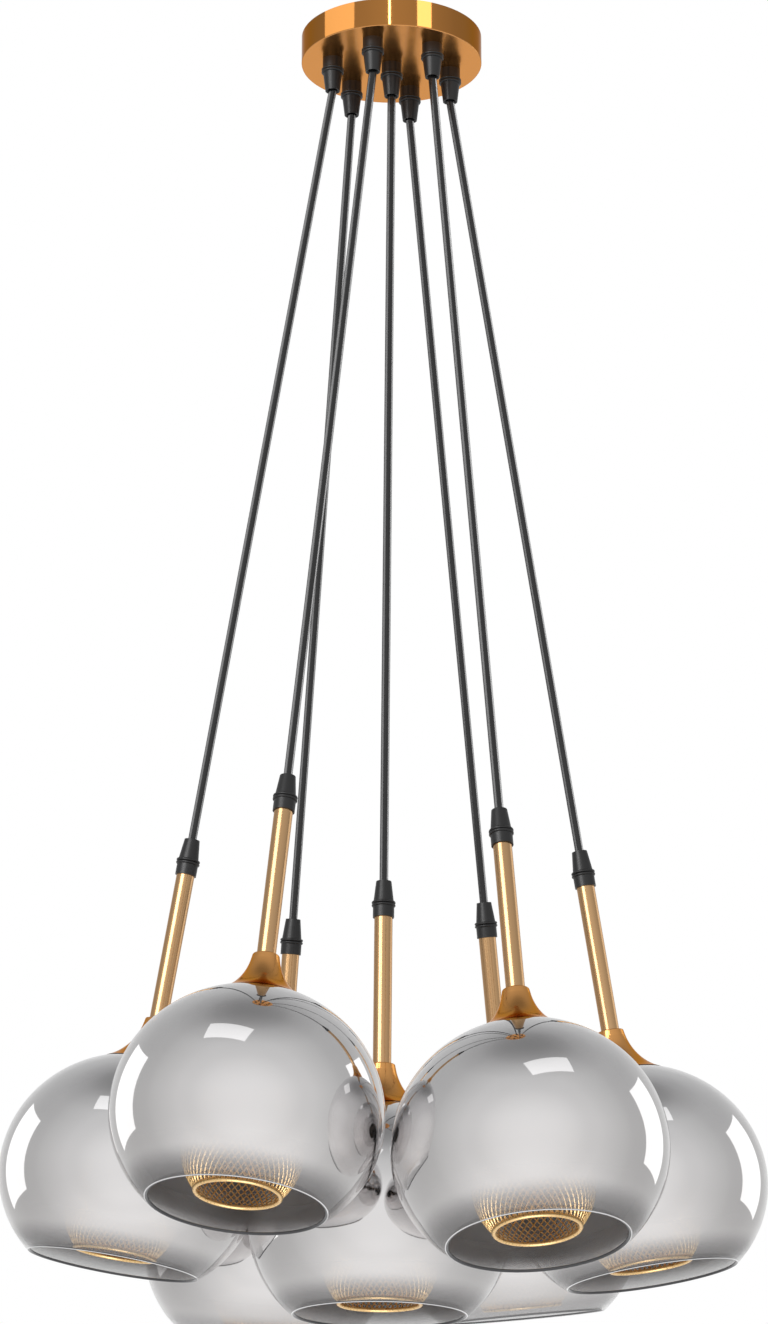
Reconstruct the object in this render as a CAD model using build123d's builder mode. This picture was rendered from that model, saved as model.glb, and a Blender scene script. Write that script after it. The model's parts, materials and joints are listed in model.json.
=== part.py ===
"""Cluster pendant light: seven globe pendants on straight cables under one round canopy.

Millimetres. The origin is the middle of the canopy at the ceiling, +Z points up into the ceiling,
+X to the right and -Y towards the viewer. Each pendant is drawn upright about its own axis, with
zero height at the widest circle of its globe, and is then hung on the line from there to the point
where its cable leaves the canopy.
"""

from build123d import *
from math import acos, asin, cos, degrees, radians, sin, sqrt, tan
import os

os.makedirs("parts", exist_ok=True)

# ---------------------------------------------------------------- driving dimensions

canopy_diameter = 150.0
canopy_height = 24.0
canopy_wall = 1.2
canopy_edge_radius = 0.8

grip_ring_radius = 50.0  # six grips on a ring, the seventh in the middle
grip_ring_turn = 12.0  # degrees from +X to the first grip of the ring

cable_diameter = 6.8

# the cord grip: collar, two thin beads and a cone
grip_collar_diameter = 16.6
grip_collar_length = 8.5
grip_bead_diameter = 18.6
grip_bead_width = 2.2
grip_cone_diameter = 15.8
grip_tip_diameter = 12.0
grip_cone_length = 16.0
grip_mouth_chamfer = 1.5
grip_spigot_diameter = 10.0
grip_spigot_rise = 5.0  # above the canopy floor
cable_play = 0.4  # round the cable where it swings in the canopy's grips
cable_fit = 0.1  # round the cable where a piece holds it still

nut_across_flats = 14.0
nut_height = 3.0

globe_diameter = 200.0
globe_crown_height = 95.0  # widest circle to the top of the full outline
globe_belly_depth = 90.0  # widest circle to the bottom of the full outline, before the mouth
mouth_diameter = 130.0
glass_wall = 3.0
glass_rim_radius = 1.2

cap_diameter = 70.0
cap_height = 35.0
cap_top_diameter = 20.0
cap_shoulder_diameter = 22.0
cap_shoulder_drop = 5.0
cap_flare_sag = 4.5  # how far the flare bows inwards from a straight cone
cap_wall = 1.0
cap_top_radius = 1.0

tube_diameter = 14.2
tube_wall = 1.0
tube_shown = 116.0  # between the cap and the grip above it
tube_in_grip = 6.0
tube_in_holder = 10.0

holder_diameter = 39.0
holder_length = 63.0
holder_neck_diameter = 20.0
holder_neck_height = 15.0
holder_flange_diameter = 43.0
holder_flange_height = 3.0
socket_diameter = 26.5
socket_depth = 26.5  # of the screw shell, up to the recess of its middle contact
contact_recess_diameter = 18.0
contact_diameter = 8.0
contact_height = 3.0
contact_setback = 0.5  # from the end of the shell up to the contact
cable_end_depth = 8.0  # how far the cable goes into the holder below the tube

basket_diameter = 89.0
basket_ring_diameter = 62.0
basket_wire_diameter = 3.2
basket_wall = 1.2
basket_collar_height = 6.0
basket_rise = 63.0  # from its widest circle up to the top of the collar

bracket_width = 16.0
bracket_thickness = 2.0
bracket_tab_drop = 14.0
bracket_slot_spacing = 80.0
bracket_slot_length = 12.0
bracket_slot_width = 5.0
supply_hole_diameter = 8.0
supply_hole_reach = 22.0

canopy_screw_diameter = 3.9
canopy_screw_length = 6.0
canopy_screw_drop = 8.0
canopy_screw_inset = 0.2  # below the canopy's outer face

block_diameter = 30.0
block_height = 10.0
block_screw_reach = 7.5
block_screw_diameter = 2.9
block_screw_head_diameter = 5.2
block_screw_head_height = 1.6
lead_diameter = 3.0
lead_bend_radius = 6.0
lead_in_block = 4.0
tail_rise = 2.0  # of each cable tail above its grip

fit = 0.1  # round pieces that pass through each other in one assembly
seat = 0.05  # between seated faces that are not both flat

# Middle of each globe's widest circle: right, away from the viewer, and down from the ceiling.
globe_places = {
    "centre": (-9.0, -25.0, 997.0),
    "front_left": (-105.0, -192.0, 943.0),
    "front_right": (98.0, -212.0, 972.0),
    "right": (188.0, 6.0, 964.0),
    "rear_right": (100.0, 187.0, 971.0),
    "rear_left": (-99.0, 175.0, 988.0),
    "left": (-202.0, 7.0, 955.0),
}
# Which grip of the ring each outer cable leaves, counted round from the first one.
ring_order = ["right", "rear_right", "rear_left", "left", "front_left", "front_right"]

# ---------------------------------------------------------------- worked out from them

globe_radius = globe_diameter / 2
cable_radius = cable_diameter / 2
tube_radius = tube_diameter / 2
grip_length = grip_collar_length + 2 * grip_bead_width + grip_cone_length
canopy_floor = -canopy_height + canopy_wall
swing_height = -canopy_height - grip_length  # the cables swing at the tips of the canopy's grips
spigot_top = canopy_floor + grip_spigot_rise
tail_top = spigot_top + tail_rise

mouth_height = -globe_belly_depth * sqrt(1 - (mouth_diameter / globe_diameter) ** 2)


def crown_at(radius, inset=0.0):
    """Height of the globe's upper half at a radius, on the outside or inset from it."""
    return (globe_crown_height - inset) * sqrt(1 - (radius / (globe_radius - inset)) ** 2)


cap_lip = crown_at(cap_diameter / 2 - cap_wall) + seat
cap_top = cap_lip + cap_height
grip_base = cap_top + tube_shown
holder_neck_radius = holder_neck_diameter / 2
holder_shoulder = crown_at(holder_diameter / 2, glass_wall) - seat
holder_base = holder_shoulder - holder_length
holder_neck_top = crown_at(holder_neck_radius, glass_wall) + holder_neck_height
tube_base = holder_neck_top - tube_in_holder
cable_base = tube_base - cable_end_depth

# the basket hangs by its collar on the flange at the foot of the lamp holder
basket_radius = basket_diameter / 2
ring_radius = basket_ring_diameter / 2
collar_inner_radius = holder_diameter / 2 + fit
collar_radius = collar_inner_radius + basket_wall
collar_base = holder_base + holder_flange_height
basket_middle = collar_base + basket_collar_height - basket_rise
ring_height = basket_middle - sqrt(basket_radius**2 - ring_radius**2)
basket_mouth_inset = ring_height - mouth_height  # from the glass mouth up to the wire ring

ring_angles = [grip_ring_turn + 60 * place for place in range(6)]
swing_points = {"centre": (0.0, 0.0, swing_height)}
for name, angle in zip(ring_order, ring_angles):
    reach = (grip_ring_radius * cos(radians(angle)), grip_ring_radius * sin(radians(angle)))
    swing_points[name] = (*reach, swing_height)
grip_spots = [(x, y) for x, y, _ in swing_points.values()]


def hang(name):
    """The plane of one pendant: its origin in the globe, its Z along the cable."""
    right, away, down = globe_places[name]
    middle = Vector(right, away, -down)
    return Plane(origin=middle, z_dir=Vector(*swing_points[name]) - middle)


def cable_reach(name):
    """From the middle of the globe up to the point where the cable swings."""
    right, away, down = globe_places[name]
    return (Vector(*swing_points[name]) - Vector(right, away, -down)).length


# ---------------------------------------------------------------- canopy

with BuildPart() as canopy:
    with BuildSketch(Plane.XY.offset(-canopy_height)):
        Circle(canopy_diameter / 2)
    extrude(amount=canopy_height)
    fillet(canopy.edges().group_by(Axis.Z)[0], canopy_edge_radius)
    with BuildSketch(Plane.XY.offset(canopy_floor)):
        Circle(canopy_diameter / 2 - canopy_wall)
    extrude(amount=canopy_height - canopy_wall, mode=Mode.SUBTRACT)
    with BuildSketch(Plane.XY.offset(-canopy_height)):
        with Locations(*grip_spots):
            Circle(grip_spigot_diameter / 2 + fit)
    extrude(amount=canopy_wall, mode=Mode.SUBTRACT)
    with Locations((0, 0, -canopy_screw_drop)):
        Cylinder(
            canopy_screw_diameter / 2 + fit, canopy_diameter, rotation=(0, 90, 0), mode=Mode.SUBTRACT
        )

canopy.part.label = "canopy"
export_step(canopy.part, "parts/canopy.step")

# ---------------------------------------------------------------- bracket and its screws

bracket_reach = sqrt((canopy_diameter / 2 - canopy_wall) ** 2 - (bracket_width / 2) ** 2) - fit

with BuildPart() as ceiling_bracket:
    with BuildSketch(Plane.XZ):
        Rectangle(2 * bracket_reach, bracket_tab_drop, align=(Align.CENTER, Align.MAX))
        with Locations((0, -bracket_thickness)):
            Rectangle(
                2 * (bracket_reach - bracket_thickness),
                bracket_tab_drop,
                align=(Align.CENTER, Align.MAX),
                mode=Mode.SUBTRACT,
            )
    extrude(amount=bracket_width / 2, both=True)
    with BuildSketch(Plane.XY.offset(-bracket_thickness)):
        with GridLocations(bracket_slot_spacing, 0, 2, 1):
            SlotOverall(bracket_slot_length, bracket_slot_width)
        with Locations((supply_hole_reach, 0)):
            Circle(supply_hole_diameter / 2)
        with GridLocations(2 * block_screw_reach, 0, 2, 1):
            Circle(block_screw_diameter / 2 + seat)
    extrude(amount=bracket_thickness, mode=Mode.SUBTRACT)
    with Locations((0, 0, -canopy_screw_drop)):
        Cylinder(
            canopy_screw_diameter / 2 + seat, canopy_diameter, rotation=(0, 90, 0), mode=Mode.SUBTRACT
        )

ceiling_bracket.part.label = "ceiling_bracket"
export_step(ceiling_bracket.part, "parts/ceiling_bracket.step")

screw_middle = canopy_diameter / 2 - canopy_screw_inset - canopy_screw_length / 2

with BuildPart() as canopy_screws:
    with GridLocations(2 * screw_middle, 0, 2, 1):
        with Locations((0, 0, -canopy_screw_drop)):
            Cylinder(canopy_screw_diameter / 2, canopy_screw_length, rotation=(0, 90, 0))

canopy_screws.part.label = "canopy_screws"
export_step(canopy_screws.part, "parts/canopy_screws.step")

# ---------------------------------------------------------------- cord grips

with BuildPart() as grip_outside:
    with BuildSketch(Plane.XZ):
        with BuildLine():
            bead_radius = grip_bead_diameter / 2
            groove_radius = bead_radius - grip_bead_width / 2
            first_bead = grip_collar_length
            second_bead = first_bead + grip_bead_width
            cone_base = second_bead + grip_bead_width
            Polyline(
                (groove_radius, first_bead),
                (grip_collar_diameter / 2, first_bead),
                (grip_collar_diameter / 2, 0),
                (0, 0),
                (0, grip_length),
                (grip_tip_diameter / 2, grip_length),
                (grip_cone_diameter / 2, cone_base),
                (groove_radius, cone_base),
            )
            for base in (first_bead, second_bead):
                ThreePointArc(
                    (groove_radius, base),
                    (bead_radius, base + grip_bead_width / 2),
                    (groove_radius, base + grip_bead_width),
                )
        make_face()
    revolve(axis=Axis.Z)

with BuildPart() as tube_grip:
    add(grip_outside.part)
    Cylinder(
        tube_radius + fit,
        tube_in_grip,
        align=(Align.CENTER, Align.CENTER, Align.MIN),
        mode=Mode.SUBTRACT,
    )
    Cylinder(
        cable_radius + cable_fit,
        grip_length,
        align=(Align.CENTER, Align.CENTER, Align.MIN),
        mode=Mode.SUBTRACT,
    )

with BuildPart() as canopy_grip:
    add(grip_outside.part, rotation=(180, 0, 0))
    Cylinder(
        grip_spigot_diameter / 2,
        canopy_wall + grip_spigot_rise,
        align=(Align.CENTER, Align.CENTER, Align.MIN),
    )
    with Locations((0, 0, -grip_length)):
        Cylinder(
            cable_radius + cable_play,
            grip_length + canopy_wall + grip_spigot_rise,
            align=(Align.CENTER, Align.CENTER, Align.MIN),
            mode=Mode.SUBTRACT,
        )
        Cone(
            cable_radius + cable_play + grip_mouth_chamfer,
            cable_radius + cable_play,
            grip_mouth_chamfer,
            align=(Align.CENTER, Align.CENTER, Align.MIN),
            mode=Mode.SUBTRACT,
        )

with BuildPart() as canopy_grips:
    with Locations(*[(x, y, -canopy_height) for x, y in grip_spots]):
        add(canopy_grip.part)

canopy_grips.part.label = "canopy_grips"
export_step(canopy_grips.part, "parts/canopy_grips.step")

with BuildPart() as grip_nuts:
    with BuildSketch(Plane.XY.offset(canopy_floor)):
        with Locations(*grip_spots):
            RegularPolygon(nut_across_flats / 2, 6, major_radius=False)
            Circle(grip_spigot_diameter / 2 + seat, mode=Mode.SUBTRACT)
    extrude(amount=nut_height)

grip_nuts.part.label = "grip_nuts"
export_step(grip_nuts.part, "parts/grip_nuts.step")

# ---------------------------------------------------------------- wiring inside the canopy

tail_base = swing_height + cable_radius + cable_play

with BuildPart() as cable_tails:
    with BuildSketch(Plane.XY.offset(tail_base)):
        with Locations(*grip_spots):
            Circle(cable_radius)
    extrude(amount=tail_top - tail_base)

cable_tails.part.label = "cable_tails"
export_step(cable_tails.part, "parts/cable_tails.step")

block_top = -bracket_thickness
block_base = block_top - block_height
lead_height = block_top - block_height / 2
lead_end = block_diameter / 2 - lead_in_block

with BuildPart() as terminal_block:
    with BuildSketch(Plane.XY.offset(block_base)):
        Circle(block_diameter / 2)
        with GridLocations(2 * block_screw_reach, 0, 2, 1):
            Circle(block_screw_diameter / 2 + fit, mode=Mode.SUBTRACT)
    extrude(amount=block_height)
    with Locations((0, 0, block_base)):
        Cylinder(
            lead_diameter / 2 + fit,
            lead_in_block,
            align=(Align.CENTER, Align.CENTER, Align.MIN),
            mode=Mode.SUBTRACT,
        )
    for angle in ring_angles:
        side = Vector(cos(radians(angle)), sin(radians(angle)), 0)
        entry = side * (block_diameter / 2) + Vector(0, 0, lead_height)
        with BuildSketch(Plane(origin=entry, z_dir=side)):
            Circle(lead_diameter / 2 + fit)
        extrude(amount=-lead_in_block, mode=Mode.SUBTRACT)

terminal_block.part.label = "terminal_block"
export_step(terminal_block.part, "parts/terminal_block.step")

with BuildPart() as ring_lead:
    with BuildLine(Plane.XZ) as lead_route:
        FilletPolyline(
            (grip_ring_radius, tail_top),
            (grip_ring_radius, lead_height),
            (lead_end, lead_height),
            radius=lead_bend_radius,
        )
    with BuildSketch(Plane(origin=(grip_ring_radius, 0, tail_top))):
        Circle(lead_diameter / 2)
    sweep(path=lead_route.wires()[0])

with BuildPart() as core_leads:
    for angle in ring_angles:
        add(ring_lead.part, rotation=(0, 0, angle))
    with BuildSketch(Plane.XY.offset(tail_top)):
        Circle(lead_diameter / 2)
    extrude(amount=block_base + lead_in_block - tail_top)

core_leads.part.label = "core_leads"
export_step(core_leads.part, "parts/core_leads.step")

with BuildPart() as block_screws:
    with BuildSketch(Plane.XY.offset(block_base)):
        with GridLocations(2 * block_screw_reach, 0, 2, 1):
            Circle(block_screw_diameter / 2)
    extrude(amount=block_height + bracket_thickness)
    with BuildSketch(Plane.XY.offset(block_base)):
        with GridLocations(2 * block_screw_reach, 0, 2, 1):
            Circle(block_screw_head_diameter / 2)
    extrude(amount=-block_screw_head_height)

block_screws.part.label = "block_screws"
export_step(block_screws.part, "parts/block_screws.step")

# ---------------------------------------------------------------- one pendant, upright


def globe_arc(wide, height, turn):
    """An exact stretch of an upright ellipse, from its widest point to an angle up or down; its end."""
    half = turn / 2
    end = (wide * cos(turn), height * sin(turn))
    Bezier((wide, 0), (wide, height * tan(half)), end, weights=[1, cos(half), 1])
    return end


def globe_outline(inset, top_radius, bottom_height):
    """Draws the globe's side from its top hole down to a height, inset from the outside."""
    wide = globe_radius - inset
    crown = globe_crown_height - inset
    belly = globe_belly_depth - inset
    top = globe_arc(wide, crown, acos(top_radius / wide))
    bottom = globe_arc(wide, -belly, asin(-bottom_height / belly))
    return top, bottom


with BuildPart() as shade:
    glass_hole_radius = holder_neck_radius + fit
    with BuildSketch(Plane.XZ) as shade_profile:
        with BuildLine():
            outer_top, outer_bottom = globe_outline(0, glass_hole_radius, mouth_height)
            inner_top, inner_bottom = globe_outline(glass_wall, glass_hole_radius, mouth_height)
            Line(outer_top, inner_top)
            Line(outer_bottom, inner_bottom)
        make_face()
        fillet(shade_profile.vertices().group_by(Axis.Y)[0], glass_rim_radius)
    revolve(axis=Axis.Z)

with BuildPart() as cap:
    with BuildSketch(Plane.XZ) as cap_profile:
        with BuildLine():
            lip = Vector(cap_diameter / 2, cap_lip)
            shoulder = Vector(cap_shoulder_diameter / 2, cap_top - cap_shoulder_drop)
            along = (lip - shoulder).normalized()
            inwards = Vector(along.Y, -along.X)
            bow = (lip + shoulder) / 2 + inwards * cap_flare_sag
            inner_lip = lip - Vector(cap_wall, 0)
            inner_shoulder = shoulder + inwards * cap_wall
            inner_bow = bow + inwards * cap_wall
            bore = tube_radius + fit
            ThreePointArc(lip, bow, shoulder)
            Polyline(shoulder, (cap_top_diameter / 2, cap_top), (bore, cap_top), (bore, cap_top - cap_wall))
            Line((bore, cap_top - cap_wall), inner_shoulder)
            ThreePointArc(inner_shoulder, inner_bow, inner_lip)
            Line(inner_lip, lip)
        make_face()
        top_corner = cap_profile.vertices().group_by(Axis.Y)[-1].sort_by(Axis.X)[-1]
        fillet(top_corner, cap_top_radius)
    revolve(axis=Axis.Z)

with BuildPart() as tube:
    with BuildSketch(Plane.XY.offset(tube_base)):
        Circle(tube_radius)
        Circle(tube_radius - tube_wall, mode=Mode.SUBTRACT)
    extrude(amount=grip_base + tube_in_grip - tube_base)

with BuildPart() as lamp_holder:
    with BuildSketch(Plane.XZ):
        with BuildLine():
            neck_radius = holder_neck_radius
            body_radius = holder_diameter / 2
            flange_radius = holder_flange_diameter / 2
            flange_top = holder_base + holder_flange_height
            Polyline(
                (0, holder_base),
                (flange_radius, holder_base),
                (flange_radius, flange_top),
                (body_radius, flange_top),
                (body_radius, holder_shoulder),
                (neck_radius, crown_at(neck_radius, glass_wall) - seat),
                (neck_radius, holder_neck_top),
                (0, holder_neck_top),
                close=True,
            )
        make_face()
    revolve(axis=Axis.Z)
    with Locations((0, 0, holder_base)):
        Cylinder(
            socket_diameter / 2,
            socket_depth,
            align=(Align.CENTER, Align.CENTER, Align.MIN),
            mode=Mode.SUBTRACT,
        )
    recess_base = holder_base + socket_depth
    recess_top = recess_base + contact_setback + contact_height
    with BuildSketch(Plane.XY.offset(recess_base)):
        Circle(contact_recess_diameter / 2)
    extrude(amount=recess_top - recess_base, mode=Mode.SUBTRACT)
    with Locations((0, 0, recess_top)):
        Cylinder(contact_diameter / 2, contact_height, align=(Align.CENTER, Align.CENTER, Align.MAX))
    with Locations((0, 0, holder_neck_top)):
        Cylinder(
            tube_radius + seat,
            tube_in_holder,
            align=(Align.CENTER, Align.CENTER, Align.MAX),
            mode=Mode.SUBTRACT,
        )
        Cylinder(
            cable_radius + cable_fit,
            tube_in_holder + cable_end_depth,
            align=(Align.CENTER, Align.CENTER, Align.MAX),
            mode=Mode.SUBTRACT,
        )

with BuildPart() as basket:
    with BuildSketch(Plane.XZ):
        with BuildLine():
            # a round belly below, and above it a longer arc that leaves the belly upright
            inner_radius = basket_radius - basket_wall
            foot = degrees(acos(ring_radius / basket_radius))
            inner_foot = degrees(acos(ring_radius / inner_radius))
            pinch = basket_radius - collar_inner_radius
            top_radius = (pinch**2 + basket_rise**2) / (2 * pinch)
            top_middle = (basket_radius - top_radius, basket_middle)
            top_turn = degrees(asin(basket_rise / top_radius))
            inner_turn = degrees(acos((collar_radius - top_middle[0]) / (top_radius - basket_wall)))
            belly_outside = CenterArc((0, basket_middle), basket_radius, -foot, foot)
            belly_inside = CenterArc((0, basket_middle), inner_radius, -inner_foot, inner_foot)
            top_outside = CenterArc(top_middle, top_radius, 0, top_turn)
            top_inside = CenterArc(top_middle, top_radius - basket_wall, 0, inner_turn)
            Line(belly_outside @ 0, belly_inside @ 0)
            Polyline(
                top_outside @ 1,
                (collar_inner_radius, collar_base),
                (collar_radius, collar_base),
                top_inside @ 1,
            )
        make_face()
        with Locations((ring_radius, ring_height)):
            Circle(basket_wire_diameter / 2)
    revolve(axis=Axis.Z)

# ---------------------------------------------------------------- the seven pendants

pendant_pieces = {
    "shade": shade,
    "cap": cap,
    "tube": tube,
    "lamp_holder": lamp_holder,
    "basket": basket,
}

for name in globe_places:
    place = hang(name).location
    reach = cable_reach(name)

    with BuildPart() as cable:
        with BuildSketch(Plane.XY.offset(cable_base)):
            Circle(cable_radius)
        extrude(amount=reach - cable_base)
        with Locations((0, 0, reach)):
            Sphere(cable_radius)

    placed = {f"cable_{name}": cable.part.moved(place)}
    placed[f"tube_grip_{name}"] = tube_grip.part.moved(place * Location((0, 0, grip_base)))
    for kind, piece in pendant_pieces.items():
        placed[f"{kind}_{name}"] = piece.part.moved(place)

    for label, piece in placed.items():
        piece.label = label
        export_step(piece, f"parts/{label}.step")

    free = reach - grip_base - grip_length
    print(f"{name}: cable {reach - cable_base:.1f} mm long, {free:.1f} mm of it free")

print(f"the wire rings stand {basket_mouth_inset:.1f} mm inside the glass mouths")
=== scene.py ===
# %% [markdown]
# # A seven-light cluster pendant
#
# Seven smoke-grey glass globes hang on straight black cables under one round, copper-coloured
# canopy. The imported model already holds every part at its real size, so this lesson never moves a
# part. It builds finer meshes where the real piece is thin, round or pierced, and it gives each
# surface a finish.

# %% The frame
import bmesh
import bpy
import json
from math import acos, asin, pi, radians, sin, sqrt
from mathutils import Matrix, Vector


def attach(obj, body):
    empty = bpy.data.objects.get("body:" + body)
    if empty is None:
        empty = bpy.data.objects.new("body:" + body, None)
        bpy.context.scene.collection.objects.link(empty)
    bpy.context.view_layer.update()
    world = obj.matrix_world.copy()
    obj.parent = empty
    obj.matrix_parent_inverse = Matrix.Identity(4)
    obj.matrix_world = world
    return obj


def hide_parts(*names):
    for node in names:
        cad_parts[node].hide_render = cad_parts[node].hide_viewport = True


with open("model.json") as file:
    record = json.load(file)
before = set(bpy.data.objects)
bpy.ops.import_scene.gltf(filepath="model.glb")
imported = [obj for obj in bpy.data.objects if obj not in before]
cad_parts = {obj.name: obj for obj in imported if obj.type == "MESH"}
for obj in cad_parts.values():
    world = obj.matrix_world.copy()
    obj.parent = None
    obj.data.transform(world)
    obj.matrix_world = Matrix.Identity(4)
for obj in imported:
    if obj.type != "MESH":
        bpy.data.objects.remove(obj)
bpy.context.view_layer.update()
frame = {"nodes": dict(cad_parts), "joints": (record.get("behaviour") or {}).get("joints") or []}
nodes = frame["nodes"]

# %% [markdown]
# ## The camera
#
# The photograph looks up at the cluster from below it, through a long lens. A camera is placed by
# its height and distance and then tipped up. It could also be aimed at the object by a
# constraint, but a plain angle is easier to match to a picture. Its sensor is fitted by height,
# because the picture is tall.

# %% The camera
camera_place = (-0.0063, -3.0, -1.448)
camera_pitch = radians(16.77)
camera_lens = 107.07
film_height = 36.0

camera_data = bpy.data.cameras.new("camera")
camera_data.sensor_fit = "VERTICAL"
camera_data.sensor_height = film_height
camera_data.lens = camera_lens
camera = bpy.data.objects.new("camera", camera_data)
camera.location = camera_place
camera.rotation_euler = (pi / 2 + camera_pitch, 0, 0)
bpy.context.scene.collection.objects.link(camera)
bpy.context.scene.camera = camera
print("camera stands", -camera_place[1], "m in front")

# %% [markdown]
# ## Where each pendant hangs
#
# Each pendant leans a little differently. It could be modelled where it hangs, but one that
# stands upright, with zero height at the widest circle of its globe, is easier to measure. One
# matrix then hangs it on the line from there to the point where its cable leaves the canopy. The
# joints of the frame hold those points, and the globes' places are the list that the part was
# built from.

# %% Where each pendant hangs
globe_places = {
    "centre": (-0.009, -0.025, -0.997),
    "front_left": (-0.105, -0.192, -0.943),
    "front_right": (0.098, -0.212, -0.972),
    "right": (0.188, 0.006, -0.964),
    "rear_right": (0.100, 0.187, -0.971),
    "rear_left": (-0.099, 0.175, -0.988),
    "left": (-0.202, 0.007, -0.955),
}
swing_points = {
    joint["child"].removeprefix("pendant_"): Vector(joint["pos_m"]) for joint in frame["joints"]
}


def hang(name):
    """The matrix that takes an upright pendant to its place in the cluster."""
    middle = Vector(globe_places[name])
    axis = (swing_points[name] - middle).normalized()
    turn = Vector((0, 0, 1)).rotation_difference(axis).to_matrix().to_4x4()
    return Matrix.Translation(middle) @ turn


for name in globe_places:
    print(name, "swings from", [round(value, 3) for value in swing_points[name]])

# %% [markdown]
# ## The cables
#
# Each cable is a 6.8 mm sheathed flex, pulled straight by the weight of its globe. A thin
# cylinder would do, but a cable is best drawn as a curve with a round bevel: one open spline from
# the grip on the canopy down into the lamp holder. The spline's order is set after its points are
# there, or it would stay a chain of straight pieces. The thickness is kept in the points' radius,
# under a bevel depth of 1, because a curve's bounding box is padded by that radius, and the usual
# radius of 1 would make it reach a metre too far.

# %% The cables
cable_diameter = 0.0068
cable_foot = 0.08851  # its lower end inside the lamp holder, above the widest circle
cables = {}
for name in globe_places:
    top = swing_points[name]
    foot = hang(name) @ Vector((0, 0, cable_foot))
    curve = bpy.data.curves.new(f"flex_{name}", "CURVE")
    curve.dimensions = "3D"
    curve.bevel_depth = 1.0
    curve.bevel_resolution = 6
    curve.use_fill_caps = True
    spline = curve.splines.new("NURBS")
    route = [top, top.lerp(foot, 0.5), foot]
    spline.points.add(len(route) - 1)
    for point, place in zip(spline.points, route):
        point.co = (*place, 1)
        point.radius = cable_diameter / 2
    spline.order_u = 3
    spline.use_endpoint_u = True
    spline.resolution_u = 4
    cable = bpy.data.objects.new(f"flex_{name}", curve)
    bpy.context.scene.collection.objects.link(cable)
    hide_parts(f"cable_{name}")
    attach(cable, f"pendant_{name}")
    cables[name] = cable
    print(f"{name}: cable {(top - foot).length:.3f} m")

# %% [markdown]
# ## Starting a new piece
#
# Every new piece starts as a primitive, or as one loose point that is drawn out. An operator acts
# on all that is selected, so each piece starts by clearing the selection. Parts of a mesh are then
# picked by a test of their place or their mark, because their numbers change with every size.

# %% Starting a new piece
def deselect():
    """Leaves nothing selected, before a new piece is added."""
    bpy.ops.object.select_all(action="DESELECT")


def rename(name):
    """Names the piece in hand and its mesh."""
    piece = bpy.context.object
    piece.name = name
    piece.data.name = name
    return piece


def start_point(name, place):
    """A piece of one selected point, left in edit mode, to be drawn out by spin."""
    deselect()
    bpy.ops.mesh.primitive_plane_add(size=0.001)
    piece = rename(name)
    bpy.ops.object.mode_set(mode="EDIT")
    bpy.ops.mesh.select_all(action="SELECT")
    bpy.ops.mesh.merge(type="CENTER")
    bpy.ops.transform.translate(value=place)
    return piece


def pick(kind, test):
    """In edit mode, selects the vertices or edges that pass a test, and nothing else."""
    bpy.ops.mesh.select_all(action="DESELECT")
    bpy.ops.mesh.select_mode(type={"verts": "VERT", "edges": "EDGE"}[kind])
    mesh = bmesh.from_edit_mesh(bpy.context.object.data)
    for item in getattr(mesh, kind):
        if test(item):
            item.select_set(True)
    mesh.select_flush_mode()
    bmesh.update_edit_mesh(bpy.context.object.data)


def modify(piece, kind, **settings):
    """Adds a modifier to the piece in hand and applies it."""
    modifier = piece.modifiers.new(kind.title(), kind)
    for setting, value in settings.items():
        setattr(modifier, setting, value)
    bpy.ops.object.modifier_apply(modifier=modifier.name)


def turn_once_round(steps):
    """Spins the selected outline once round the upright axis and closes the seam."""
    bpy.ops.mesh.select_all(action="SELECT")
    bpy.ops.mesh.spin(
        steps=steps, angle=2 * pi, center=(0, 0, 0), axis=(0, 0, 1), use_auto_merge=True
    )
    bpy.ops.mesh.select_all(action="SELECT")
    bpy.ops.mesh.remove_doubles(threshold=1e-6)
    bpy.ops.mesh.normals_make_consistent(inside=False)


print("nodes that new pieces may replace:", sorted(nodes)[:3], "and so on")

# %% [markdown]
# ## The glass globe
#
# The globe is blown glass, a little flatter than a ball, cut open below and drilled on top for
# the lamp holder. A spun outline would give the same shape, but a sphere already has even faces:
# it is scaled to the outline in two halves, bisected at the mouth and at the hole, and given its
# 3 mm wall by a Solidify modifier. One more cut close above the mouth sets off a narrow band.
#
# Solidify hands the inside and the cut edge their own material slots, so the mesh needs empty
# slots before it. A Bevel then rounds both edges of the cut. The narrow band outside gets the
# last slot, for the fire-polished rim. Its nearly white colour is a painted highlight, which draws
# the thin pale line where the real rim catches the light.

# %% The glass globe
globe_radius = 0.100
globe_crown = 0.095
globe_belly = 0.090
mouth_radius = 0.065
hole_radius = 0.0101
glass_wall = 0.003
rim_round = 0.0013
rim_band = 0.0010  # height of the polished band above the mouth
mouth_height = -globe_belly * sqrt(1 - (mouth_radius / globe_radius) ** 2)
hole_height = globe_crown * sqrt(1 - (hole_radius / globe_radius) ** 2)
glass_slots = ("coat", "inside", "cut", "rim")
coat_slot, inside_slot, cut_slot, rim_slot = range(len(glass_slots))

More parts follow.
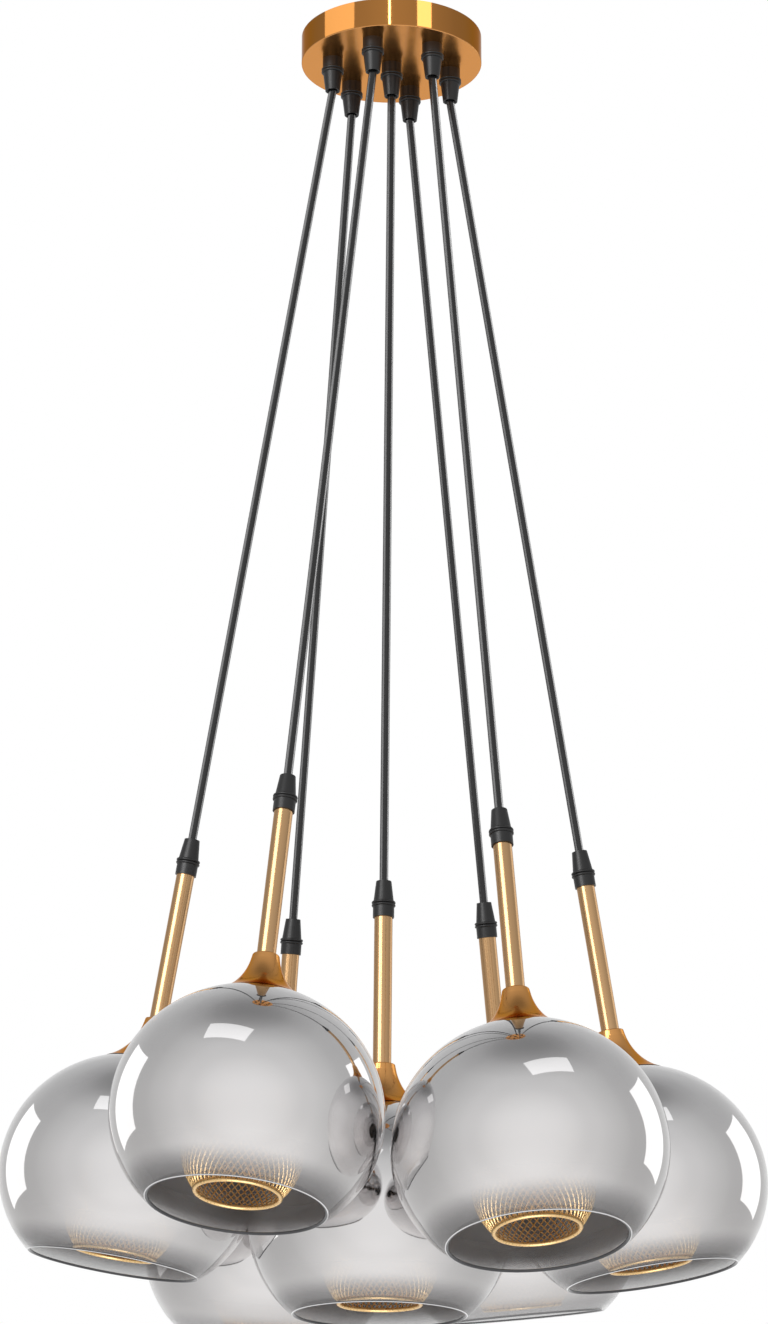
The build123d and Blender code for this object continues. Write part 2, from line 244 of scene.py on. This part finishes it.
deselect()
bpy.ops.mesh.primitive_uv_sphere_add(segments=144, ring_count=72, radius=globe_radius)
globe = rename("globe")
bpy.ops.object.mode_set(mode="EDIT")
for half, height in ((1, globe_crown), (-1, globe_belly)):
    pick("verts", lambda vertex: vertex.co.z * half > 1e-5)
    bpy.ops.transform.resize(value=(1, 1, height / globe_radius), center_override=(0, 0, 0))
for cut_height, side in ((mouth_height, 1), (hole_height, -1)):
    bpy.ops.mesh.select_all(action="SELECT")
    bpy.ops.mesh.bisect(plane_co=(0, 0, cut_height), plane_no=(0, 0, side), clear_inner=True)
bpy.ops.mesh.select_all(action="SELECT")
bpy.ops.mesh.bisect(plane_co=(0, 0, mouth_height + rim_band), plane_no=(0, 0, 1))
bpy.ops.object.mode_set(mode="OBJECT")
print("globe: mouth", round(mouth_height, 4), "and hole", round(hole_height, 4), "m")

# %% [markdown]
# ### The globe's wall and rim
#
# The Bevel leaves half of the outer rounding with the coat, so the outer faces below the top of
# the band are sorted after it. Those that look almost straight down join the dark cut, and the
# others become the rim, whose pale colour is a painted highlight. They could be picked by hand,
# but a rule by height and direction picks the same faces on every run.

# %% The globe's wall and rim
looks_down = -0.94  # upward part of a face's normal

for _ in glass_slots:
    globe.data.materials.append(None)
modify(
    globe,
    "SOLIDIFY",
    thickness=glass_wall,
    offset=-1,
    use_even_offset=True,
    material_offset=inside_slot,
    material_offset_rim=cut_slot,
)
modify(globe, "BEVEL", width=rim_round, segments=4, limit_method="ANGLE", angle_limit=radians(60))
bpy.ops.object.shade_smooth()
for face in globe.data.polygons:
    if face.material_index == coat_slot and face.center.z <= mouth_height + rim_band:
        face.material_index = cut_slot if face.normal.z < looks_down else rim_slot
for slot, part in enumerate(glass_slots):
    print(part, sum(face.material_index == slot for face in globe.data.polygons), "faces")

# %% [markdown]
# ## The mesh bowl
#
# Inside each globe hangs a bowl of gold expanded metal. Its outline is a round belly with a
# longer arc above it. One point spun about each arc's middle draws that outline, and a second
# spin turns it once round the axis into a grid. A picture of holes on a smooth bowl would look
# flat from near by, so the strands are real: poking every face and dissolving the old edges
# leaves diamonds, and a Wireframe modifier turns their edges into strands.

# %% The mesh bowl
bowl_radius = 0.0445
bowl_ring_radius = 0.031
bowl_rise = 0.063
bowl_middle = -0.02693
collar_radius = 0.0208
collar_height = 0.006
diamonds_round = 52
belly_rows = 5
upper_rows = 9
strand = 0.0010

belly_start = acos(bowl_ring_radius / bowl_radius)
pinch = bowl_radius - collar_radius
upper_rise = bowl_rise - collar_height
upper_radius = (pinch**2 + upper_rise**2) / (2 * pinch)
upper_turn = asin(upper_rise / upper_radius)
ring_height = bowl_middle - bowl_radius * sin(belly_start)

bowl = start_point("bowl", (bowl_ring_radius, 0, ring_height))
for rows, turn, spun_round in (
    (belly_rows, belly_start, 0),
    (upper_rows, upper_turn, bowl_radius - upper_radius),
):
    bpy.ops.mesh.spin(
        steps=rows, angle=turn, center=(spun_round, 0, bowl_middle), axis=(0, 1, 0)
    )
turn_once_round(diamonds_round)
bpy.ops.mesh.mark_seam()
bpy.ops.mesh.poke()
pick("edges", lambda edge: edge.seam and len(edge.link_faces) == 2)
bpy.ops.mesh.dissolve_edges(use_verts=False)
bpy.ops.mesh.select_all(action="SELECT")
bpy.ops.mesh.mark_seam(clear=True)
bpy.ops.object.mode_set(mode="OBJECT")
print("bowl:", len(bowl.data.polygons), "diamonds")
modify(bowl, "WIREFRAME", thickness=strand, offset=-1, use_replace=True, use_boundary=True)

# %% [markdown]
# ### The bowl's ring and collar
#
# A round wire closes the bowl's mouth, and a plain sheet collar seats it on the lamp holder. The
# wire is a torus. The collar is a cylinder without ends that gets a wall and rounded edges. All
# three are soldered together on the real bowl, so they are joined into one piece.

# %% The bowl's ring and collar
bowl_wire = 0.0032
collar_wall = 0.0011
collar_round = 0.0003

deselect()
bpy.ops.mesh.primitive_torus_add(
    location=(0, 0, ring_height),
    major_radius=bowl_ring_radius,
    minor_radius=bowl_wire / 2,
    major_segments=96,
    minor_segments=14,
)
bpy.ops.object.transform_apply(location=True)
bowl_ring = rename("bowl_ring")
bpy.ops.object.shade_smooth()

deselect()
bpy.ops.mesh.primitive_cylinder_add(
    vertices=64,
    radius=collar_radius,
    depth=collar_height,
    end_fill_type="NOTHING",
    location=(0, 0, bowl_middle + bowl_rise - collar_height / 2),
)
bpy.ops.object.transform_apply(location=True)
bowl_collar = rename("bowl_collar")
modify(bowl_collar, "SOLIDIFY", thickness=collar_wall, offset=-1)
modify(bowl_collar, "BEVEL", width=collar_round, segments=2, limit_method="ANGLE")
bpy.ops.object.shade_smooth_by_angle(angle=radians(30))

for part in (bowl_ring, bowl_collar, bowl):
    part.select_set(True)
bpy.context.view_layer.objects.active = bowl
bpy.ops.object.join()
print("bowl joined:", len(bowl.data.polygons), "faces")

# %% [markdown]
# ## Nodes for a finish
#
# Each finish is a Principled shader. What is even all over is set on the shader's own sockets,
# and what varies is driven by a pattern. Patterns read Object coordinates, which need no
# unwrapping. The pendants lean, so a Mapping node first turns those coordinates upright for the
# pendant that the finish is on.

# %% Nodes for a finish
noise_low, noise_high = 0.3, 0.7  # nearly all of a noise lies between these


class Finish:
    """A material with a Principled shader and short ways to add pattern nodes to it."""

    def __init__(self, name, place=None, **sockets):
        self.material = bpy.data.materials.new(name)
        self.material.use_nodes = True
        self.nodes = self.material.node_tree.nodes
        self.links = self.material.node_tree.links
        self.shader = self.nodes["Principled BSDF"]
        for socket, value in sockets.items():
            self.shader.inputs[socket.replace("_", " ")].default_value = value
        self.spot = self.add("ShaderNodeTexCoord").outputs["Object"]
        if place is not None:
            upright = place.inverted()
            turned = self.add("ShaderNodeMapping")
            turned.inputs["Location"].default_value = upright.translation
            turned.inputs["Rotation"].default_value = upright.to_euler()
            self.link(self.spot, turned.inputs["Vector"])
            self.spot = turned.outputs["Vector"]

    def add(self, kind, **settings):
        """A new node with some of its settings."""
        node = self.nodes.new(kind)
        for setting, value in settings.items():
            setattr(node, setting, value)
        return node

    def link(self, source, target):
        """Joins an output to an input."""
        self.links.new(source, target)

    def drive(self, socket, value):
        """Joins an output to one of the shader's sockets."""
        self.link(value, self.shader.inputs[socket])

    def stretched(self, scale):
        """The pattern's coordinates, scaled apart along X, Y and Z."""
        mapping = self.add("ShaderNodeMapping")
        mapping.inputs["Scale"].default_value = scale
        self.link(self.spot, mapping.inputs["Vector"])
        return mapping.outputs["Vector"]

    def noise(self, scale, detail=3.0, vector=None):
        """Noise from 0 to 1, with its scale in cells to the metre."""
        noise = self.add("ShaderNodeTexNoise")
        noise.inputs["Scale"].default_value = scale
        noise.inputs["Detail"].default_value = detail
        self.link(vector or self.spot, noise.inputs["Vector"])
        return noise.outputs["Fac"]

    def along(self, axis):
        """The upright place along one axis, in metres."""
        split = self.add("ShaderNodeSeparateXYZ")
        self.link(self.spot, split.inputs["Vector"])
        return split.outputs[axis]

    def ramp(self, value, low, high, to_low, to_high, smooth=True):
        """Takes a value from one range to another."""
        ramp = self.add("ShaderNodeMapRange")
        ramp.interpolation_type = "SMOOTHSTEP" if smooth else "LINEAR"
        for index, number in enumerate((low, high, to_low, to_high)):
            ramp.inputs[index + 1].default_value = number
        self.link(value, ramp.inputs["Value"])
        return ramp.outputs["Result"]

    def mix(self, factor, *colors):
        """A colour between two, each of them plain or the output of a node."""
        mix = self.add("ShaderNodeMix", data_type="RGBA")
        for socket, color in zip("AB", colors):
            if isinstance(color, tuple):
                mix.inputs[socket].default_value = (*color, 1)
            else:
                self.link(color, mix.inputs[socket])
        self.link(factor, mix.inputs["Factor"])
        return mix.outputs["Result"]

    def bump(self, height, distance, strength):
        """Raises the surface by a pattern."""
        bump = self.add("ShaderNodeBump")
        bump.inputs["Distance"].default_value = distance
        bump.inputs["Strength"].default_value = strength
        self.link(height, bump.inputs["Height"])
        self.drive("Normal", bump.outputs["Normal"])

    def vary(self, noise, rough, colors=None):
        """Lets a noise move the roughness, and the colour as well, between two values."""
        self.drive("Roughness", self.ramp(noise, noise_low, noise_high, *rough))
        if colors:
            self.drive("Base Color", self.mix(noise, *colors))


print("a finish turns its pattern by", [round(v, 3) for v in hang("left").inverted().to_euler()])

# %% [markdown]
# ## Smoke glass
#
# The globe carries a thin metal coat, as a two-way mirror does: seen from outside it mirrors the
# room in grey, and near the mouth it thins out until the gold bowl shows through. Real glass with
# a coat takes many bounces of light. A metal shader with an alpha that falls towards the mouth
# gives the same look for less. The edge of the coat is darker, because the smoke of the glass
# shows there, and the inside is duller. The cut is dark. The polished rim round it is a nearly
# white mirror: a painted highlight for the pale line of light along the rim.

# %% Smoke glass
coat_band = 0.020  # from the mouth up to where the coat is full
coat_at_mouth, coat_full = 0.30, 0.88
inside_band = 0.035
inside_at_mouth, inside_full = 0.28, 0.80


def smoke_glass(name):
    """The outer coat, the inside, the cut and the polished rim with its painted highlight, for one
    globe.
    """
    place = hang(name)
    coat = Finish(
        f"smoke_coat_{name}", place, Metallic=1.0, Coat_Weight=0.5, Coat_Roughness=0.02
    )
    coat.vary(coat.noise(35, detail=4), (0.028, 0.05))
    rise = coat.along("Z")
    up_the_globe = coat.ramp(rise, mouth_height, globe_crown, 0, 1)
    up_the_band = coat.ramp(rise, mouth_height, mouth_height + coat_band, 0, 1)
    body = coat.mix(up_the_globe, (0.79, 0.77, 0.765), (0.815, 0.81, 0.82))
    coat.drive("Base Color", coat.mix(up_the_band, (0.40, 0.395, 0.40), body))
    coat_end = mouth_height + coat_band
    coat.drive("Alpha", coat.ramp(rise, mouth_height, coat_end, coat_at_mouth, coat_full))

    inside = Finish(
        f"smoke_inside_{name}", place, Base_Color=(0.68, 0.675, 0.68, 1), Metallic=0.6,
        Roughness=0.2, Coat_Weight=0.3, Coat_Roughness=0.03,
    )
    rise = inside.along("Z")
    inside_end = mouth_height + inside_band
    inside.drive("Alpha", inside.ramp(rise, mouth_height, inside_end, inside_at_mouth, inside_full))

    cut = Finish(
        f"smoke_cut_{name}", place, Base_Color=(0.08, 0.08, 0.085, 1), Metallic=0.3,
        Roughness=0.2, Coat_Weight=0.2, Coat_Roughness=0.05,
    )
    # Painted highlight: the rim is a nearly white mirror, so that it reads as a thin pale line.
    rim = Finish(
        f"smoke_rim_{name}", place, Base_Color=(0.95, 0.945, 0.95, 1), Metallic=0.85,
        Coat_Weight=1.0, Coat_Roughness=0.02,
    )
    rim.vary(rim.noise(400), (0.05, 0.12))
    return [coat.material, inside.material, cut.material, rim.material]


print("coat is full", round(mouth_height + coat_band, 4), "m from the widest circle")

# %% [markdown]
# ## Gold, brass and copper
#
# The metals are all plated: satin brass on the stems, a warmer and glossier gold on the caps and
# bowls, and a copper gold on the canopy. What tells them apart close up is the brushing. On the
# stems the fine lines run along the tube, on the caps and on the canopy's wall they run round it.
# A drawn texture would need unwrapping, so stretched noise in the roughness and the tone stands
# for the lines. Specular Tint keeps the metal coloured where it is seen at a low angle.

# %% Gold, brass and copper
def satin_brass(name):
    """The stem: brown brass under a clear lacquer, with fine lines along it."""
    brass = Finish(
        f"satin_brass_{name}", hang(name), Metallic=1.0, Specular_Tint=(0.9, 0.65, 0.42, 1),
        Coat_Weight=0.8, Coat_Roughness=0.15,
    )
    lines = brass.noise(1.0, detail=2, vector=brass.stretched((1500, 1500, 9)))
    brass.vary(lines, (0.20, 0.25), [(0.485, 0.285, 0.124), (0.515, 0.305, 0.136)])
    return brass.material


def cap_gold(name):
    """The cap: glossy orange gold, with fine lines round the axis."""
    gold = Finish(
        f"cap_gold_{name}", hang(name), Metallic=1.0, Specular_Tint=(0.8, 0.5, 0.25, 1),
        Coat_Weight=0.1, Coat_Roughness=0.08,
    )
    lines = gold.noise(1.0, detail=2, vector=gold.stretched((30, 30, 1500)))
    gold.vary(lines, (0.15, 0.21), [(0.68, 0.33, 0.105), (0.72, 0.35, 0.115)])
    return gold.material


def bowl_gold(name):
    """The bowl: pale gold strands, a little uneven in tone from one to the next."""
    gold = Finish(f"bowl_gold_{name}", hang(name), Metallic=0.7)
    patches = gold.noise(300, detail=2)
    gold.vary(patches, (0.24, 0.36), [(0.89, 0.57, 0.24), (0.97, 0.68, 0.33)])
    return gold.material


print("metals for", len(globe_places), "pendants")

# %% [markdown]
# ### The canopy's plating
#
# The canopy's wall is nearly a mirror and its underside is satin. The wall's base colour is darker
# than the underside's: painted shade, for the dark room that the mirror shows. Both are faces of
# one piece, so one material parts them by height, just above the underside.

# %% The canopy's plating
# Where the wall's painted shade begins, and the height over which it fades in.
underside = -0.0238  # where the wall's tone begins
wall_shade_step = 0.0004
gloss_start = 0.0002  # above that
gloss_step = 0.0006
wall_gloss, underside_gloss = 0.06, 0.22
line_depth = 0.03


def canopy_copper():
    """The canopy: a mirror-like wall darkened by painted shade, and a paler satin underside, parted
    by height.
    """
    plating = Finish(
        "canopy_copper", Metallic=1.0, Specular_Tint=(0.8, 0.5, 0.3, 1), Coat_Weight=0.15,
        Coat_Roughness=0.05,
    )
    rise = plating.along("Z")
    lines = plating.noise(1.0, detail=3, vector=plating.stretched((60, 60, 2400)))
    gloss_base = underside + gloss_start
    gloss = plating.ramp(rise, gloss_base, gloss_base + gloss_step, underside_gloss, wall_gloss)
    rough = plating.add("ShaderNodeMath", operation="MULTIPLY_ADD")
    plating.link(plating.ramp(lines, noise_low, noise_high, -0.5, 0.5), rough.inputs[0])
    rough.inputs[1].default_value = line_depth
    plating.link(gloss, rough.inputs[2])
    plating.drive("Roughness", rough.outputs[0])
    # Painted shade: the wall gets a darker base colour than the underside, for the dark room it
    # mirrors.
    wall = plating.ramp(rise, underside, underside + wall_shade_step, 0, 1)
    plating.drive("Base Color", plating.mix(wall, (0.78, 0.37, 0.13), (0.42, 0.175, 0.04)))
    return plating.material


copper = canopy_copper()
print("made", copper.name)

# %% [markdown]
# ## Black plastic, rubber and the rest
#
# The grips are moulded in matte black with a faint grain. The flex has a smooth black sheath with
# a soft shine. Inside the canopy and the globes are plain technical finishes: zinc-plated steel,
# off-white and black mouldings and coloured wire. One function makes every moulding, because they
# differ only in tone, gloss and grain.

# %% Black plastic, rubber and the rest
def moulding(name, color, roughness, grain, depth):
    """A moulded surface with a fine grain."""
    plastic = Finish(name)
    pattern = plastic.noise(grain, detail=5)
    lighter = tuple(channel * 1.15 + 0.002 for channel in color)
    plastic.vary(pattern, (roughness - 0.05, roughness + 0.06), [color, lighter])
    plastic.bump(pattern, depth, 0.5)
    return plastic.material


def zinc():
    """Bright zinc plate, faintly mottled."""
    steel = Finish("zinc_plate", Metallic=1.0)
    mottle = steel.noise(160, detail=5)
    steel.vary(mottle, (0.24, 0.4), [(0.62, 0.63, 0.65), (0.76, 0.77, 0.78)])
    return steel.material


grip_black = moulding("grip_black", (0.007, 0.007, 0.0075), 0.36, 1500, 0.00001)
holder_black = moulding("holder_black", (0.015, 0.015, 0.015), 0.3, 900, 0.00001)
sheath_black = moulding("sheath_black", (0.009, 0.009, 0.0095), 0.2, 500, 0.000001)
core_brown = moulding("core_brown", (0.45, 0.22, 0.09), 0.35, 600, 0.00001)
block_white = moulding("block_white", (0.80, 0.79, 0.75), 0.4, 900, 0.00001)
zinc_plate = zinc()
print("materials so far:", len(bpy.data.materials))

# %% [markdown]
# ## Dressing the pieces of the canopy
#
# The canopy and what it hides keep their own meshes, which are already exact. Only the material
# in each of their slots is changed. A new piece gets its materials one slot at a time instead,
# because clearing the list would put all its faces back into the first slot.

# %% Dressing the pieces of the canopy
def dress(piece, materials):
    """Gives a new piece its materials, one slot at a time, so that its faces keep their slots."""
    slots = piece.data.materials
    while len(slots) < len(materials):
        slots.append(None)
    for index, material in enumerate(materials):
        slots[index] = material


def redress(node, material):
    """Gives every slot of a carried-over node one better material."""
    for slot in nodes[node].material_slots:
        slot.material = material


canopy_finishes = {
    "canopy": copper,
    "canopy_screws": copper,
    "canopy_grips": grip_black,
    "cable_tails": sheath_black,
    "core_leads": core_brown,
    "terminal_block": block_white,
    "ceiling_bracket": zinc_plate,
    "grip_nuts": zinc_plate,
    "block_screws": zinc_plate,
}
for node, material in canopy_finishes.items():
    redress(node, material)
print("dressed:", ", ".join(canopy_finishes))

# %% [markdown]
# ## Hanging seven pendants
#
# The globe and the bowl were made once, upright. Each pendant takes a copy with its own mesh,
# moved to its place inside the mesh, so that the finished object still sits at the origin. Moving
# the object instead would leave its place behind when the model is exported.

# %% Hanging seven pendants
def hang_copy(model, name, kind, materials):
    """Copies an upright piece to one pendant, in place of the plain solid there."""
    piece = model.copy()
    piece.data = model.data.copy()
    piece.name = piece.data.name = f"{model.name}_{name}"
    bpy.context.scene.collection.objects.link(piece)
    piece.data.transform(hang(name))
    dress(piece, materials)
    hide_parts(f"{kind}_{name}")
    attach(piece, f"pendant_{name}")
    return piece


globes = {}
bowls = {}
for name in globe_places:
    globes[name] = hang_copy(globe, name, "shade", smoke_glass(name))
    bowls[name] = hang_copy(bowl, name, "basket", [bowl_gold(name)])
    redress(f"tube_{name}", satin_brass(name))
    redress(f"cap_{name}", cap_gold(name))
    redress(f"tube_grip_{name}", grip_black)
    redress(f"lamp_holder_{name}", holder_black)
    dress(cables[name], [sheath_black])
for model in (globe, bowl):
    bpy.data.objects.remove(model)
print("pendants dressed:", len(globes))

# %% [markdown]
# ## The studio
#
# The photograph has a white background and soft light. More light would bleach the object, so the
# background is white by its own colour: the world is white to the camera, to mirrors and through
# glass, and plainly grey where it only lights.

# %% The studio
background_white = 1.0
room_light = 0.6

scene = bpy.context.scene
scene.view_settings.view_transform = "Standard"
world = bpy.data.worlds.new("studio")
scene.world = world
world.use_nodes = True
world_nodes = world.node_tree.nodes
world_links = world.node_tree.links
world_nodes.clear()
rays = world_nodes.new("ShaderNodeLightPath")
seen = rays.outputs["Is Camera Ray"]
for kind in ("Is Glossy Ray", "Is Transmission Ray"):
    either = world_nodes.new("ShaderNodeMath")
    either.operation = "MAXIMUM"
    world_links.new(seen, either.inputs[0])
    world_links.new(rays.outputs[kind], either.inputs[1])
    seen = either.outputs[0]
pick_light = world_nodes.new("ShaderNodeMixShader")
world_links.new(seen, pick_light.inputs["Fac"])
for socket, strength in ((1, room_light), (2, background_white)):
    background = world_nodes.new("ShaderNodeBackground")
    background.inputs["Color"].default_value = (1, 1, 1, 1)
    background.inputs["Strength"].default_value = strength
    world_links.new(background.outputs["Background"], pick_light.inputs[socket])
output = world_nodes.new("ShaderNodeOutputWorld")
world_links.new(pick_light.outputs["Shader"], output.inputs["Surface"])
print("world:", room_light, "as light,", background_white, "as background")

# %% [markdown]
# ## The floor
#
# A plain pale floor lies well below the cluster and keeps its soft shadow. To the camera alone it
# glows a little, so that it fades into the white background. Mirrors don't see it, because the
# tent of the next step stands in for it there.

# %% The floor
floor_height = -2.7
floor_size = 12
floor_glow = 0.36

deselect()
bpy.ops.mesh.primitive_plane_add(size=floor_size, location=(0, 0, floor_height))
floor = rename("floor")
floor_paint = Finish(
    "floor_paint", Base_Color=(0.86, 0.86, 0.86, 1), Roughness=0.7, Emission_Color=(1, 1, 1, 1)
)
floor_seen = floor_paint.add("ShaderNodeLightPath").outputs["Is Camera Ray"]
glow = floor_paint.ramp(floor_seen, 0, 1, 0, floor_glow, smooth=False)
floor_paint.drive("Emission Strength", glow)
floor.data.materials.append(floor_paint.material)
floor.visible_glossy = False
print("floor lies at", floor_height, "m")

# %% [markdown]
# ## The tent
#
# A room that is white all round would leave mirrors flat, so a tent of grey cloth stands round
# the cluster. Only reflections see it. It is brightest in front and below, dimmer at the sides
# and dark overhead. Two ramps, one from front to back and one upwards, are multiplied into its
# glow, which is simpler to tune than many lamps.

# %% The tent
cluster = Vector((0, 0, -0.97))
tent_radius = 8.0
tent_glow = 1.35
tent_front_to_back = [(-1, 1.0), (-0.75, 0.83), (-0.5, 0.75), (-0.12, 0.62), (0.12, 0.57),
                      (0.5, 0.58), (0.8, 0.68), (1, 0.85)]
tent_upward = [(-1, 1.0), (-0.85, 1.0), (-0.7, 0.93), (-0.45, 0.82), (-0.2, 0.75), (0.3, 0.74),
               (0.6, 0.70), (0.8, 0.66), (0.92, 0.52), (1, 0.34)]


def brightness(cloth, axis, stops):
    """A smooth curve along one axis, through (place, brightness) stops from side to side."""
    curve = cloth.add("ShaderNodeValToRGB")
    curve.color_ramp.interpolation = "CARDINAL"
    elements = curve.color_ramp.elements
    while len(elements) < len(stops):
        elements.new(0.5)
    for element, (place, level) in zip(elements, stops):
        element.position = (place + 1) / 2
        element.color = (level, level, level, 1)
    across = cloth.ramp(cloth.along(axis), -tent_radius, tent_radius, 0, 1, smooth=False)
    cloth.link(across, curve.inputs["Fac"])
    return curve.outputs["Color"]


deselect()
bpy.ops.mesh.primitive_uv_sphere_add(
    segments=64, ring_count=32, radius=tent_radius, location=cluster
)
tent = rename("tent")
bpy.ops.object.shade_smooth()
cloth = Finish(
    "tent_cloth", Base_Color=(0, 0, 0, 1), Specular_IOR_Level=0.0, Emission_Strength=tent_glow
)
both = cloth.add("ShaderNodeMix", data_type="RGBA", blend_type="MULTIPLY")
both.inputs["Factor"].default_value = 1.0
cloth.link(brightness(cloth, "Y", tent_front_to_back), both.inputs["A"])
cloth.link(brightness(cloth, "Z", tent_upward), both.inputs["B"])
cloth.drive("Emission Color", both.outputs["Result"])
cloth.material.cycles.emission_sampling = "NONE"
tent.data.materials.append(cloth.material)
for ray in ("camera", "diffuse", "transmission", "shadow"):
    setattr(tent, f"visible_{ray}", False)
print("tent:", len(tent_front_to_back), "tones to the back and", len(tent_upward), "upwards")

# %% [markdown]
# ## Soft boxes
#
# Two tall boxes stand a little behind the cluster and draw the white strips along the globes'
# sides. Two more hang in front and above and draw the small white patches. The key stands at the
# left and draws the bright line along the tubes and caps. The globes, the canopy and the sheaths
# are kept out of its light. The black sheaths send back so little that they have a stronger pair
# of their own. One box below lights the bowls. The canopy's wall has three, which draw its bands
# of orange, white and yellow. A real studio hides light with black card. Light linking does the
# same here, with a list of pieces for each box.

# %% Soft boxes
def soft_box(name, place, size, glow, lit=(), unlit=(), aim=cluster):
    """A rectangle of light with an even glow, which may light or leave out the listed pieces."""
    light = bpy.data.lights.new(name, "AREA")
    light.shape = "RECTANGLE"
    light.size, light.size_y = size
    light.energy = glow * pi * size[0] * size[1]
    box = bpy.data.objects.new(name, light)
    box.location = place
    box.rotation_euler = (Vector(aim) - Vector(place)).to_track_quat("-Z", "Y").to_euler()
    box.visible_camera = False
    bpy.context.scene.collection.objects.link(box)
    if lit or unlit:
        receivers = bpy.data.collections.new(f"lit by {name}")
        for piece in lit or unlit:
            receivers.objects.link(piece)
        for member in receivers.collection_objects:
            member.light_linking.link_state = "INCLUDE" if lit else "EXCLUDE"
        box.light_linking.receiver_collection = receivers
    print(f"{name}: glow {glow}, {light.energy:.1f} W")


left_side = [globes[name] for name in ("left", "front_left", "rear_left", "centre")]
right_side = [globes[name] for name in ("right", "front_right", "rear_right")]
every_globe = left_side + right_side
sheaths = list(cables.values())
grips = [nodes["canopy_grips"], *(nodes[f"tube_grip_{name}"] for name in globe_places)]
canopy = nodes["canopy"]
ceiling = (0, 0, 0)

soft_box("left_box", (-1.95, 0.88, -0.5), (1.2, 1.65), 0.85, lit=every_globe)
soft_box("right_box", (1.95, 0.88, -0.5), (1.2, 1.65), 0.85, unlit=[*sheaths, *grips])
soft_box("upper_left_box", (-0.46, -0.91, 0.75), (0.97, 0.5), 0.6, lit=left_side)
soft_box("upper_right_box", (0.46, -0.91, 0.75), (0.97, 0.5), 0.6, lit=right_side)
soft_box("key", (-1.2, -1.73, -0.1), (1.3, 1.3), 5.0, unlit=[*every_globe, *sheaths, canopy])
soft_box("cable_left_box", (-2.0, -0.5, 0.3), (2.2, 2.2), 4.0, lit=sheaths)
soft_box("cable_right_box", (2.0, 0.6, 0.3), (1.5, 2.2), 6.0, lit=sheaths)
soft_box("bowl_box", (0.0, -0.9, -2.4), (1.2, 1.2), 3.0, lit=bowls.values())
soft_box("canopy_left_box", (-1.7, -0.6, 0.86), (1.5, 1.0), 1.7, lit=[canopy], aim=ceiling)
soft_box("canopy_front_box", (-0.08, -1.8, 0.86), (0.07, 1.0), 20, lit=[canopy], aim=ceiling)
soft_box("canopy_right_box", (1.2, -1.35, 0.86), (0.6, 1.0), 4.0, lit=[canopy], aim=ceiling)
